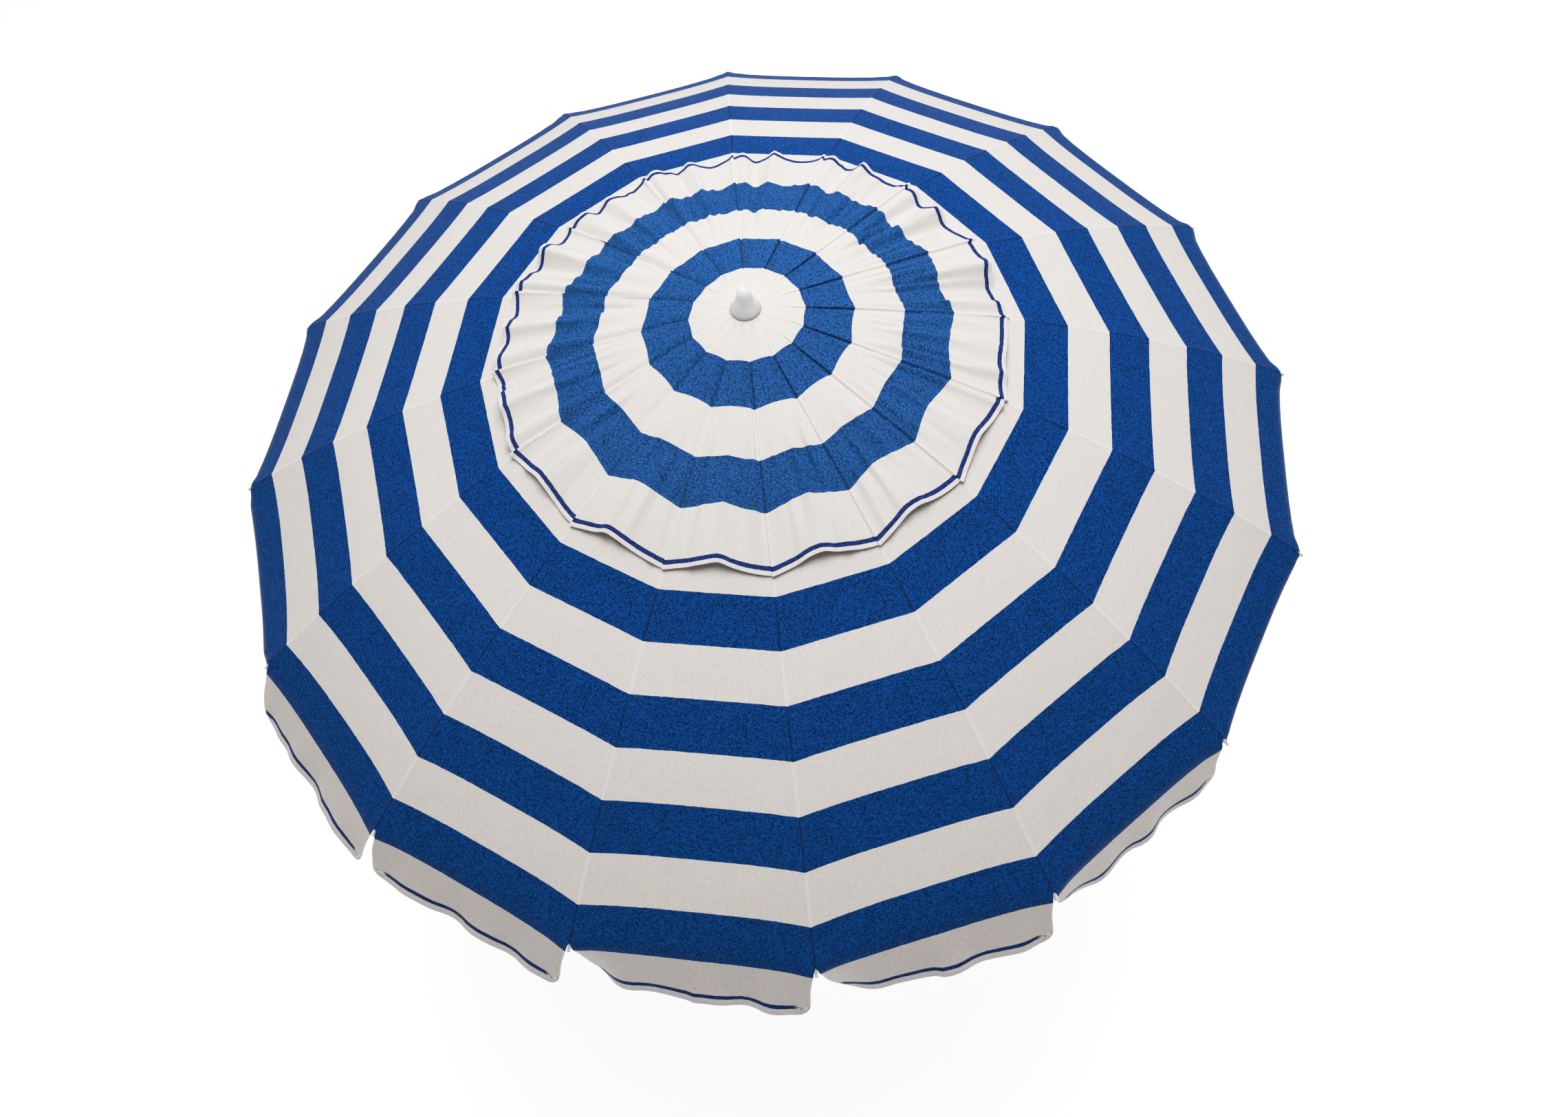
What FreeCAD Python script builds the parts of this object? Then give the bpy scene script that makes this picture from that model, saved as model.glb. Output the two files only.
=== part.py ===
import FreeCAD, Part
import math
import os
import Sketcher
from FreeCAD import Placement, Rotation, Vector

# Beach umbrella with sixteen ribs and a vented two-layer canopy, open, standing upright.
# Millimetres. +Z is up the pole; the origin is the pole's ground point.
# Ribs are evenly spaced; rib_01 points along -Y and the numbers go anticlockwise seen from above.

doc = FreeCAD.newDocument("beach_umbrella")
sheet = doc.addObject("Spreadsheet::Sheet", "dims")

CELLS = [
    ("rib_count", 16, "ribs, stretchers and canopy panels"),
    # pole
    ("foot_len", 60, "spun point at the bottom of the lower pole"),
    ("lower_rad", 18, "lower pole outside radius"),
    ("lower_bore", 16.5, "lower pole inside radius"),
    ("lower_top", 800, "top of the lower pole"),
    ("neck_rad", 17.8, "sized neck under the clamp collar"),
    ("neck_foot", 770, "bottom of the sized neck"),
    ("upper_rad", 16, "upper pole outside radius"),
    ("upper_bore", 14.6, "upper pole inside radius"),
    ("upper_foot", 530, "bottom of the upper pole, 270 mm inside the lower pole"),
    # clamp
    ("collar_rad", 23.5, "clamp collar outside radius"),
    ("collar_top", 832, "top of the clamp collar"),
    ("collar_bore", 16.4, "collar bore round the upper pole"),
    ("collar_seat", 17.85, "collar bore round the neck"),
    ("knob_height", 816, "height of the clamp screw"),
    ("screw_rad", 3.95, "clamp screw"),
    ("screw_hole", 4.05, "hole for the clamp screw"),
    # hub and the curve of the canopy over the ribs
    ("hub_height", 2150, "height of the rib pivots"),
    ("pivot_rad", 26, "radius of the hub wire and the runner wire"),
    ("wire_rad", 1, "hub and runner wire"),
    ("eye_rad", 1.1, "eye round the wire"),
    ("arc_back", 452.9, "the canopy arc's centre lies this far behind the axis"),
    ("arc_rad", 3079.5, "radius of the canopy arc over a rib"),
    ("arc_drop", 3036.5, "the arc's centre lies this far below the rib pivots"),
    ("rod_drop", 5.5, "rib centre line below the top of the cloth"),
    ("rod_rad", 2.3, "rib rod"),
    ("rod_start", 35.5, "radius where the round rod starts"),
    ("rod_end", 1150, "radius where the rod ends, inside its tip cap"),
    ("tip_start", 1138, "radius where the tip cap starts"),
    ("tip_len", 29, "tip cap length"),
    ("tip_rad", 3.5, "tip cap radius"),
    ("blade_half", 1.2, "half thickness of the flattened ends"),
    # linkage
    ("joint_reach", 513, "radius of the rib bracket"),
    ("joint_drop", 9, "rivet below the rib centre line"),
    ("rivet_rad", 1.5, "rivet"),
    ("rivet_eye", 1.58, "stretcher eye round the rivet"),
    ("strut_len", 562, "stretcher between its two pivots"),
    ("strut_rad", 2, "stretcher rod"),
    # runner
    ("runner_bore", 16.4, "runner bore round the pole"),
    ("runner_rad", 20.5, "runner sleeve outside radius"),
    ("crown_rad", 31, "hub and runner crown radius"),
    ("crown_slot", 3.4, "slots for the rib and stretcher ends"),
    ("runner_sleeve", 60, "runner sleeve below its pivots"),
    # cloth
    ("cloth", 0.8, "thickness given to the cloth"),
    ("vent_rad", 350, "radius of the vent opening in the main canopy"),
    ("edge_rad", 1150.7, "canopy edge over a rib"),
    ("cap_hole", 14, "hole in the vent cap for the finial's stem"),
    ("cap_rad", 504, "vent cap edge over a rib"),
    ("cap_lift", 1.8, "vent cap above the main canopy's surface"),
    ("cap_hem_lift", 9, "the same at the vent cap's edge"),
    ("flap_len", 128, "valance flap length"),
    ("flap_slope", 58, "valance flap slope below level, degrees"),
    ("flap_gap", 8, "gap between a flap's side and the rib line"),
    # finial
    ("finial_rad", 30, "finial flange radius"),
    ("finial_height", 66, "finial top above the rib pivots"),
]
for row, (alias, value, note) in enumerate(CELLS, start=1):
    sheet.set("A%d" % row, alias)
    sheet.set("B%d" % row, str(value))
    sheet.setAlias("B%d" % row, alias)
    sheet.set("C%d" % row, note)
doc.recompute()


def dim(alias):
    return float(sheet.get(alias))


def at(alias, offset=0.0, scale=1.0):
    """A sketch coordinate: its value and the expression that binds it to the sheet."""
    value = scale * dim(alias) + offset
    return value, "%r * dims.%s + %r" % (float(scale), alias, float(offset))


def num(value):
    return float(value), None


def plane(body, role):
    for feature in body.Origin.OriginFeatures:
        if feature.Role == role:
            return feature


def new_body(name):
    body = doc.addObject("PartDesign::Body", name)
    body.Label = name
    return body


def polygon(body, name, role, points):
    """A closed polygon sketch, every corner held by two driving distances from the origin."""
    sketch = body.newObject("Sketcher::SketchObject", name)
    sketch.AttachmentSupport = [(plane(body, role), "")]
    sketch.MapMode = "FlatFace"
    count = len(points)
    for i in range(count):
        (x0, _), (y0, _) = points[i]
        (x1, _), (y1, _) = points[(i + 1) % count]
        sketch.addGeometry(Part.LineSegment(Vector(x0, y0, 0), Vector(x1, y1, 0)), False)
    for i in range(count):
        sketch.addConstraint(Sketcher.Constraint("Coincident", i, 2, (i + 1) % count, 1))
    for i, point in enumerate(points):
        for kind, axis, (value, expression) in (("DistanceX", -2, point[0]), ("DistanceY", -1, point[1])):
            if abs(value) < 1e-9:
                sketch.addConstraint(Sketcher.Constraint("PointOnObject", i, 1, axis))
            else:
                c = sketch.addConstraint(Sketcher.Constraint(kind, -1, 1, i, 1, value))
                if expression:
                    sketch.setExpression("Constraints[%d]" % c, expression)
    return sketch


def disc(body, name, role, centre, radius):
    """A circle sketch."""
    sketch = body.newObject("Sketcher::SketchObject", name)
    sketch.AttachmentSupport = [(plane(body, role), "")]
    sketch.MapMode = "FlatFace"
    (x, xe), (y, ye), (r, re_) = centre[0], centre[1], radius
    sketch.addGeometry(Part.Circle(Vector(x, y, 0), Vector(0, 0, 1), r), False)
    for kind, axis, (value, expression) in (("DistanceX", -2, (x, xe)), ("DistanceY", -1, (y, ye))):
        if abs(value) < 1e-9:
            sketch.addConstraint(Sketcher.Constraint("PointOnObject", 0, 3, axis))
        else:
            c = sketch.addConstraint(Sketcher.Constraint(kind, -1, 1, 0, 3, value))
            if expression:
                sketch.setExpression("Constraints[%d]" % c, expression)
    c = sketch.addConstraint(Sketcher.Constraint("Radius", 0, r))
    if re_:
        sketch.setExpression("Constraints[%d]" % c, re_)
    return sketch


def turned(body, name, points, groove=False):
    """Turns a profile in the XZ plane round the Z axis, adding or cutting."""
    sketch = polygon(body, name + "_profile", "XZ_Plane", points)
    kind = "PartDesign::Groove" if groove else "PartDesign::Revolution"
    feature = body.newObject(kind, name)
    feature.Profile = sketch
    feature.ReferenceAxis = (sketch, ["V_Axis"])
    feature.Angle = 360.0
    doc.recompute()
    return feature


def around(body, name, feature, count_expression):
    """Repeats a feature round the Z axis."""
    pattern = body.newObject("PartDesign::PolarPattern", name)
    pattern.Originals = [feature]
    pattern.Axis = (plane(body, "Z_Axis"), [""])
    pattern.Angle = 360.0
    pattern.Occurrences = 16
    pattern.setExpression("Occurrences", count_expression)
    body.Tip = pattern
    doc.recompute()
    return pattern


def cut_both_ways(body, name, sketch, width_expression, width):
    feature = body.newObject("PartDesign::Pocket", name)
    feature.Profile = sketch
    feature.Type = 0
    feature.Midplane = True
    feature.Length = width
    if width_expression:
        feature.setExpression("Length", width_expression)
    doc.recompute()
    return feature


# ---------------------------------------------------------------- the canopy arc and the linkage
H = dim("hub_height")
PIVOT = dim("pivot_rad")
ARC_R0, ARC_Z0, ARC_R = -dim("arc_back"), H - dim("arc_drop"), dim("arc_rad")
COUNT = int(dim("rib_count"))
STEP = 360.0 / COUNT
FIRST = -90.0


def arc_height(r, drop=0.0):
    """Height of the canopy arc over a rib at radius r, or of a curve parallel to it below."""
    radius = ARC_R - drop
    return ARC_Z0 + math.sqrt(radius * radius - (r - ARC_R0) ** 2)


def arc_slope(r, drop=0.0):
    """Slope of that curve below level, in radians."""
    return math.asin((r - ARC_R0) / (ARC_R - drop))


ROD_R = ARC_R - dim("rod_drop")
JOINT_ANGLE = math.asin((dim("joint_reach") - ARC_R0) / ROD_R)
JOINT_R = ARC_R0 + (ROD_R - dim("joint_drop")) * math.sin(JOINT_ANGLE)
JOINT_Z = ARC_Z0 + (ROD_R - dim("joint_drop")) * math.cos(JOINT_ANGLE)
RUNNER_Z = JOINT_Z - math.sqrt(dim("strut_len") ** 2 - (JOINT_R - PIVOT) ** 2)
HUB_GAP = abs(arc_height(PIVOT, dim("rod_drop")) - H)
if HUB_GAP > 0.5:
    raise ValueError("the rib curve misses its pivot by %.2f mm" % HUB_GAP)

# ---------------------------------------------------------------- lower pole: tube spun to a point
lower = new_body("lower_pole")
turned(lower, "lower_tube", [
    (num(0), num(0)), (num(3), num(2)), (at("lower_rad"), at("foot_len")),
    (at("lower_rad"), at("neck_foot")), (at("neck_rad"), at("neck_foot")),
    (at("neck_rad"), at("lower_top")), (at("lower_bore"), at("lower_top")),
    (at("lower_bore"), at("foot_len", 4)), (num(0), at("foot_len", 4)),
])

# ---------------------------------------------------------------- clamp collar with a boss for its screw
collar = new_body("clamp_collar")
turned(collar, "collar_outside", [
    (num(0), at("neck_foot", 0.3)), (at("collar_rad", -1.5), at("neck_foot", 0.3)), (at("collar_rad"), at("neck_foot", 2)),
    (at("collar_rad"), at("collar_top", -3)), (at("collar_rad", -3), at("collar_top")), (num(0), at("collar_top")),
])
boss_sketch = disc(collar, "boss_circle", "XZ_Plane", (num(0), at("knob_height")), num(9.5))
boss = collar.newObject("PartDesign::Pad", "boss")
boss.Profile = boss_sketch
boss.Length = 34
doc.recompute()
if boss.Shape.BoundBox.YMin > -30:
    boss.Reversed = True
    doc.recompute()
turned(collar, "collar_seat_bore", [
    (num(0), at("neck_foot", -5)), (at("collar_seat"), at("neck_foot", -5)), (at("collar_seat"), at("lower_top", 0.2)),
    (at("collar_bore"), at("lower_top", 0.2)), (at("collar_bore"), at("collar_top", 5)), (num(0), at("collar_top", 5)),
], groove=True)
doc.recompute()
before = collar.Shape.Volume
hole_sketch = disc(collar, "screw_hole_circle", "XZ_Plane", (num(0), at("knob_height")), at("screw_hole"))
hole = collar.newObject("PartDesign::Pocket", "screw_hole_cut")
hole.Profile = hole_sketch
hole.Type = 0
hole.Length = 60
doc.recompute()
# the boss is on the -Y side and is the deeper of the two walls, so the right way removes more
if before - hole.Shape.Volume < 700:
    hole.Reversed = True
    doc.recompute()
if before - collar.Shape.Volume < 700:
    raise RuntimeError("the clamp screw's hole misses the boss")

# ---------------------------------------------------------------- clamp knob: lobed head on a screw
knob = new_body("clamp_knob")
turned(knob, "knob_blank", [
    (num(0), num(0)), (at("screw_rad", -0.6), num(0)), (at("screw_rad"), num(1)), (at("screw_rad"), num(18.4)),
    (num(8.5), num(18.4)), (num(8.5), num(21.5)), (num(19), num(23)), (num(20), num(25)), (num(20), num(33)),
    (num(18), num(35.5)), (num(11), num(36.4)), (num(0), num(36.4)),
])
lobe_sketch = disc(knob, "lobe_circle", "XY_Plane", (num(22.5), num(0)), num(5))
lobe = knob.newObject("PartDesign::Pocket", "lobe_cut")
lobe.Profile = lobe_sketch
lobe.Type = 0
lobe.Length = 60
doc.recompute()
if lobe.Shape.Volume > knob.Shape.Volume - 1 and not lobe.Reversed:
    pass
full = 0.0
for candidate in (False, True):
    lobe.Reversed = candidate
    doc.recompute()
    if lobe.Shape.Volume < 36000 and lobe.Shape.BoundBox.ZMax > 30:
        full = lobe.Shape.Volume
        if lobe.Shape.Volume < doc.getObject("knob_blank").Shape.Volume - 50:
            break
around(knob, "lobes", lobe, "8")
knob.Placement = Placement(Vector(0, -16.4, dim("knob_height")), Rotation(Vector(1, 0, 0), 90))

# ---------------------------------------------------------------- upper pole with the window for its catch
CATCH_Z = RUNNER_Z - dim("runner_sleeve")
upper = new_body("upper_pole")
turned(upper, "upper_tube", [
    (at("upper_bore"), at("upper_foot")), (at("upper_rad"), at("upper_foot")),
    (at("upper_rad"), at("hub_height", -3)), (at("upper_bore"), at("hub_height", -3)),
])
window = polygon(upper, "catch_window", "XZ_Plane", [
    (num(12), num(CATCH_Z - 24)), (num(20), num(CATCH_Z - 24)), (num(20), num(CATCH_Z + 0.6)), (num(12), num(CATCH_Z + 0.6)),
])
cut_both_ways(upper, "catch_slot", window, None, 5.0)

# ---------------------------------------------------------------- spring catch that holds the runner up
catch_body = new_body("catch_spring")
catch_sketch = polygon(catch_body, "catch_outline", "XZ_Plane", [
    (num(13.0), num(CATCH_Z - 0.5)), (num(19.8), num(CATCH_Z - 0.5)), (num(19.8), num(CATCH_Z - 5)),
    (num(16.2), num(CATCH_Z - 20)), (num(13.8), num(CATCH_Z - 20)), (num(13.8), num(CATCH_Z - 75)),
    (num(13.0), num(CATCH_Z - 75)),
])
catch_pad = catch_body.newObject("PartDesign::Pad", "catch_plate")
catch_pad.Profile = catch_sketch
catch_pad.Midplane = True
catch_pad.Length = 4
doc.recompute()

# ---------------------------------------------------------------- hub crown on top of the pole
hub = new_body("hub")
turned(hub, "hub_blank", [
    (num(0), at("hub_height", -2.8)), (at("upper_rad", 0.05), at("hub_height", -2.8)), (at("upper_rad", 0.05), at("hub_height", -34)),
    (num(20.2), at("hub_height", -34)), (num(20.2), at("hub_height", -6)), (at("crown_rad"), at("hub_height", -6)),
    (at("crown_rad"), at("hub_height", 3.4)), (at("crown_rad", -1), at("hub_height", 4.4)), (num(0), at("hub_height", 4.4)),
])
turned(hub, "hub_wire_groove", [
    (at("pivot_rad", -1.1), at("hub_height", -8)), (at("pivot_rad", 1.1), at("hub_height", -8)),
    (at("pivot_rad", 1.1), at("hub_height", 1.1)), (at("pivot_rad", -1.1), at("hub_height", 1.1)),
], groove=True)
turned(hub, "hub_centre_hole", [
    (num(0), at("hub_height", -6)), (num(4.1), at("hub_height", -6)), (num(4.1), at("hub_height", 8)), (num(0), at("hub_height", 8)),
], groove=True)
hub_slot = cut_both_ways(hub, "hub_slot", polygon(hub, "hub_slot_outline", "XZ_Plane", [
    (num(22.2), at("hub_height", -10)), (at("crown_rad", 4), at("hub_height", -10)),
    (at("crown_rad", 4), at("hub_height", 3.2)), (num(22.2), at("hub_height", 3.2)),
]), "dims.crown_slot", dim("crown_slot"))
around(hub, "hub_slots", hub_slot, "dims.rib_count")

# ---------------------------------------------------------------- runner that slides on the pole and carries the stretchers
runner = new_body("runner")
turned(runner, "runner_blank", [
    (at("runner_bore"), num(RUNNER_Z - 60)), (num(22.5), num(RUNNER_Z - 60)), (num(23.5), num(RUNNER_Z - 58)),
    (num(23.5), num(RUNNER_Z - 52)), (at("runner_rad"), num(RUNNER_Z - 49)), (at("runner_rad"), num(RUNNER_Z - 6)),
    (at("crown_rad"), num(RUNNER_Z - 6)), (at("crown_rad"), num(RUNNER_Z + 5)), (num(22.3), num(RUNNER_Z + 5)),
    (at("runner_rad"), num(RUNNER_Z + 14)), (at("runner_bore"), num(RUNNER_Z + 14)),
])
turned(runner, "runner_wire_groove", [
    (at("pivot_rad", -1.1), num(RUNNER_Z - 8)), (at("pivot_rad", 1.1), num(RUNNER_Z - 8)),
    (at("pivot_rad", 1.1), num(RUNNER_Z + 1.1)), (at("pivot_rad", -1.1), num(RUNNER_Z + 1.1)),
], groove=True)
runner_slot = cut_both_ways(runner, "runner_slot", polygon(runner, "runner_slot_outline", "XZ_Plane", [
    (num(22.3), num(RUNNER_Z - 10)), (at("crown_rad", 4), num(RUNNER_Z - 10)),
    (at("crown_rad", 4), num(RUNNER_Z + 10)), (num(22.3), num(RUNNER_Z + 10)),
]), "dims.crown_slot", dim("crown_slot"))
around(runner, "runner_slots", runner_slot, "dims.rib_count")

# ---------------------------------------------------------------- finial on its stem
finial = new_body("finial")
turned(finial, "finial_turning", [
    (num(0), at("hub_height", -2.4)), (num(3.95), at("hub_height", -2.4)), (num(3.95), at("hub_height", 11.4)),
    (num(18), at("hub_height", 10.4)), (at("finial_rad", -3), at("hub_height", 7.6)), (at("finial_rad"), at("hub_height", 7.2)),
    (at("finial_rad"), at("hub_height", 9)), (at("finial_rad", -6), at("hub_height", 12.6)),
    (num(17.6), at("hub_height", 19)), (num(14.8), at("hub_height", 27)), (num(13.4), at("hub_height", 38)),
    (num(12.6), at("hub_height", 49)), (num(11.2), at("finial_height", dim("hub_height") - 8.5)),
    (num(8), at("finial_height", dim("hub_height") - 3.2)), (num(4), at("finial_height", dim("hub_height") - 0.7)),
    (num(0), at("finial_height", dim("hub_height"))),
])

# ---------------------------------------------------------------- wires that the ribs and stretchers turn on
hub_wire = doc.addObject("Part::Torus", "hub_wire")
hub_wire.Label = "hub_wire"
hub_wire.setExpression("Radius1", "dims.pivot_rad")
hub_wire.setExpression("Radius2", "dims.wire_rad")
hub_wire.Placement = Placement(Vector(0, 0, H), Rotation())

wire_arcs = []
for k in range(COUNT):
    mid = FIRST + STEP * (k + 0.5)
    half = STEP / 2 - 5.2
    section = Part.Wire(Part.makeCircle(dim("wire_rad"), Vector(PIVOT, 0, 0), Vector(0, 1, 0)))
    arc = Part.Face(section).revolve(Vector(0, 0, 0), Vector(0, 0, 1), 2 * half)
    arc.Placement = Placement(Vector(0, 0, RUNNER_Z), Rotation(Vector(0, 0, 1), mid - half))
    wire_arcs.append(arc)
runner_wire = doc.addObject("Part::Feature", "runner_wire")
runner_wire.Label = "runner_wire"
runner_wire.Shape = Part.makeCompound(wire_arcs)


# ---------------------------------------------------------------- ribs, tip caps and stretchers, in the XZ plane, then turned into place
def plate(points, half):
    """A flat plate standing in the radial plane, from its outline in (radius, height)."""
    corners = [Vector(r, -half, z) for r, z in points]
    return Part.Face(Part.makePolygon(corners + corners[:1])).extrude(Vector(0, 2 * half, 0))


def bar(a, b, radius):
    """A round bar between two points in (radius, height)."""
    start, end = Vector(a[0], 0, a[1]), Vector(b[0], 0, b[1])
    return Part.makeCylinder(radius, (end - start).Length, start, end - start)


def pin(r, z, radius, half):
    return Part.makeCylinder(radius, 2 * half, Vector(r, -half, z), Vector(0, 1, 0))


def along(start, direction, distance, side=0.0):
    """A point so far along a direction and to its upper side, in (radius, height)."""
    return (start[0] + direction[0] * distance - direction[1] * side, start[1] + direction[1] * distance + direction[0] * side)


ROOT = (PIVOT, arc_height(PIVOT, dim("rod_drop")))
root_slope = arc_slope(PIVOT, dim("rod_drop"))
root_dir = (math.cos(root_slope), -math.sin(root_slope))

# round rod bent to the canopy arc: a circle turned about the arc's centre
a0 = math.asin((dim("rod_start") - ARC_R0) / ROD_R)
a1 = math.asin((dim("rod_end") - ARC_R0) / ROD_R)
rod_centre = Vector(ARC_R0 + ROD_R * math.sin(a0), 0, ARC_Z0 + ROD_R * math.cos(a0))
rod_face = Part.Face(Part.Wire(Part.makeCircle(dim("rod_rad"), rod_centre, Vector(math.cos(a0), 0, -math.sin(a0)))))
rod = rod_face.revolve(Vector(ARC_R0, 0, ARC_Z0), Vector(0, 1, 0), math.degrees(a1 - a0))
root_plate = plate([along(ROOT, root_dir, 0, 2.5), along(ROOT, root_dir, 13, 2.1), along(ROOT, root_dir, 13, -2.1), along(ROOT, root_dir, 0, -2.5)], dim("blade_half"))
root_round = pin(ROOT[0], ROOT[1], 2.5, dim("blade_half"))
rib_rod = rod.fuse([root_plate, root_round]).cut(pin(ROOT[0], ROOT[1], dim("eye_rad"), 4)).removeSplitter()

# bracket folded over the rod, with the stretcher's rivet set in its two ears
joint_dir = (math.cos(JOINT_ANGLE), -math.sin(JOINT_ANGLE))
joint_on_rod = (ARC_R0 + ROD_R * math.sin(JOINT_ANGLE), ARC_Z0 + ROD_R * math.cos(JOINT_ANGLE))
outer_half, inner_half = 3.5, 2.45


def beside(distance, side):
    return along(joint_on_rod, joint_dir, distance, side)


fold = plate([beside(-9, 3.2), beside(9, 3.2), beside(9, -5), beside(4.4, -13.2), beside(-4.4, -13.2), beside(-9, -5)], outer_half)
hollow = plate([beside(-12, 2.45), beside(12, 2.45), beside(12, -20), beside(-12, -20)], inner_half)
rivet = pin(JOINT_R, JOINT_Z, dim("rivet_rad"), 4.4)
heads = [Part.makeCylinder(2.8, 0.9, Vector(JOINT_R, y, JOINT_Z), Vector(0, 1, 0)) for y in (-4.4, 3.5)]
bracket = fold.cut(hollow).fuse([rivet] + heads).removeSplitter()

# tip cap pushed over the rod's end
t0 = math.asin((dim("tip_start") - ARC_R0) / ROD_R)
tip_foot = (ARC_R0 + ROD_R * math.sin(t0), ARC_Z0 + ROD_R * math.cos(t0))
tip_dir = (math.cos(t0), -math.sin(t0))
tip_len, tip_rad = dim("tip_len"), dim("tip_rad")
tip_outline = [(0, 2.42), (0, tip_rad - 0.3), (0.4, tip_rad), (tip_len - 8, tip_rad), (tip_len - 7, tip_rad - 0.7),
               (tip_len - 4.5, tip_rad - 0.7), (tip_len - 3.6, tip_rad), (tip_len - 1.2, tip_rad), (tip_len, tip_rad - 1.4),
               (tip_len, 0), (14, 0), (14, 2.42)]
tip_face = Part.Face(Part.makePolygon([Vector(r, 0, x) for x, r in tip_outline] + [Vector(2.42, 0, 0)]))
tip_blank = tip_face.revolve(Vector(0, 0, 0), Vector(0, 0, 1), 360)
tip_turn = Rotation(Vector(0, 0, 1), Vector(tip_dir[0], 0, tip_dir[1]))
tip_blank.Placement = Placement(Vector(tip_foot[0], 0, tip_foot[1]), tip_turn)

# stretcher: rod with a thick eye at the rib and a thin one in the runner
J = (JOINT_R, JOINT_Z)
E = (PIVOT, RUNNER_Z)
length = math.hypot(J[0] - E[0], J[1] - E[1])
up = ((J[0] - E[0]) / length, (J[1] - E[1]) / length)
strut_rod = bar(along(E, up, 9.5), along(J, up, -7), dim("strut_rad"))
low_plate = plate([along(E, up, 0, 2.5), along(E, up, 13, 1.8), along(E, up, 13, -1.8), along(E, up, 0, -2.5)], dim("blade_half"))
high_plate = plate([along(J, up, 0, 3), along(J, up, -12, 1.8), along(J, up, -12, -1.8), along(J, up, 0, -3)], 1.6)
strut = strut_rod.fuse([low_plate, pin(E[0], E[1], 2.5, dim("blade_half")), high_plate, pin(J[0], J[1], 3, 1.6)])
strut = strut.cut(pin(E[0], E[1], dim("eye_rad"), 4)).cut(pin(J[0], J[1], dim("rivet_eye"), 4)).removeSplitter()


def turned_copy(name, shape, angle):
    feature = doc.addObject("Part::Feature", name)
    feature.Label = name
    feature.Shape = shape
    feature.Placement = Placement(Vector(0, 0, 0), Rotation(Vector(0, 0, 1), angle)).multiply(feature.Placement)
    return feature


rib_shape = Part.makeCompound([rib_rod, bracket])
spokes = []
for k in range(COUNT):
    angle = FIRST + STEP * k
    spokes.append(turned_copy("rib_%02d" % (k + 1), rib_shape, angle))
    spokes.append(turned_copy("rib_tip_%02d" % (k + 1), tip_blank, angle))
    spokes.append(turned_copy("stretcher_%02d" % (k + 1), strut, angle))
# the catch and its window point between two ribs
for body in (upper, catch_body):
    body.Placement = Placement(Vector(0, 0, 0), Rotation(Vector(0, 0, 1), FIRST + STEP / 2))


# ---------------------------------------------------------------- cloth: sixteen flat-sided panels between the ribs
def ring(r, z):
    return [Vector(r * math.cos(math.radians(FIRST + STEP * k)), r * math.sin(math.radians(FIRST + STEP * k)), z) for k in range(COUNT)]


def cloth_shell(levels, thickness):
    """A closed shell through rings of (radius over a rib, height of the upper surface)."""
    tops = [ring(r, z) for r, z in levels]
    bottoms = [ring(r, z - thickness) for r, z in levels]
    faces = []

    def quad(a, b, c, d):
        faces.append(Part.Face(Part.makePolygon([a, b, c, d, a])))

    for k in range(COUNT):
        n = (k + 1) % COUNT
        for i in range(len(levels) - 1):
            quad(tops[i][k], tops[i][n], tops[i + 1][n], tops[i + 1][k])
            quad(bottoms[i][k], bottoms[i + 1][k], bottoms[i + 1][n], bottoms[i][n])
        quad(tops[0][k], bottoms[0][k], bottoms[0][n], tops[0][n])
        quad(tops[-1][k], tops[-1][n], bottoms[-1][n], bottoms[-1][k])
    shell = Part.makeShell(faces)
    shell.sewShape()
    solid = Part.makeSolid(shell)
    if solid.Volume < 0:
        solid.reverse()
    return solid


cloth = dim("cloth")
main_radii = [dim("vent_rad"), 430, 504, 580, 660, 740, 820, 900, 980, 1070, dim("edge_rad")]
main = cloth_shell([(r, arc_height(r)) for r in main_radii], cloth)

# valance flaps hang outwards from the edge, one to a panel, open at every rib
half_angle = math.radians(STEP / 2)
edge = dim("edge_rad")
edge_z = arc_height(edge)
chord = edge * math.cos(half_angle)
half_width = edge * math.sin(half_angle) - dim("flap_gap")
slope = math.radians(dim("flap_slope"))
flaps = []
for k in range(COUNT):
    out, down = math.cos(slope), -math.sin(slope)
    rows = [(-1.2, half_width), (dim("flap_len") - 26, half_width - 4), (dim("flap_len"), half_width - 26)]
    outline = [Vector(chord + s * out, -w, edge_z - 0.2 + s * down) for s, w in rows]
    outline += [Vector(p.x, -p.y, p.z) for p in reversed(outline)]
    normal = Vector(down, 0, -out) * cloth
    flap = Part.Face(Part.makePolygon(outline + outline[:1])).extrude(normal)
    flap.rotate(Vector(0, 0, 0), Vector(0, 0, 1), FIRST + STEP * (k + 0.5))
    flaps.append(flap)
canopy = doc.addObject("Part::Feature", "canopy")
canopy.Label = "canopy"
canopy.Shape = main.fuse(flaps).removeSplitter()

cap_radii = [dim("cap_hole"), 60, 120, 190, 270, 350, 430, dim("cap_rad")]


def cap_height(r):
    share = max(0.0, (r - 350.0) / (dim("cap_rad") - 350.0))
    return arc_height(r) + dim("cap_lift") + (dim("cap_hem_lift") - dim("cap_lift")) * share


vent_cap = doc.addObject("Part::Feature", "vent_cap")
vent_cap.Label = "vent_cap"
vent_cap.Shape = cloth_shell([(r, cap_height(r)) for r in cap_radii], cloth)

# ---------------------------------------------------------------- check everything, then write the pieces
doc.recompute()
for obj in doc.Objects:
    if "Invalid" in obj.State or "Error" in obj.State:
        raise RuntimeError("%s did not recompute: %s" % (obj.Label, obj.State))

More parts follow.
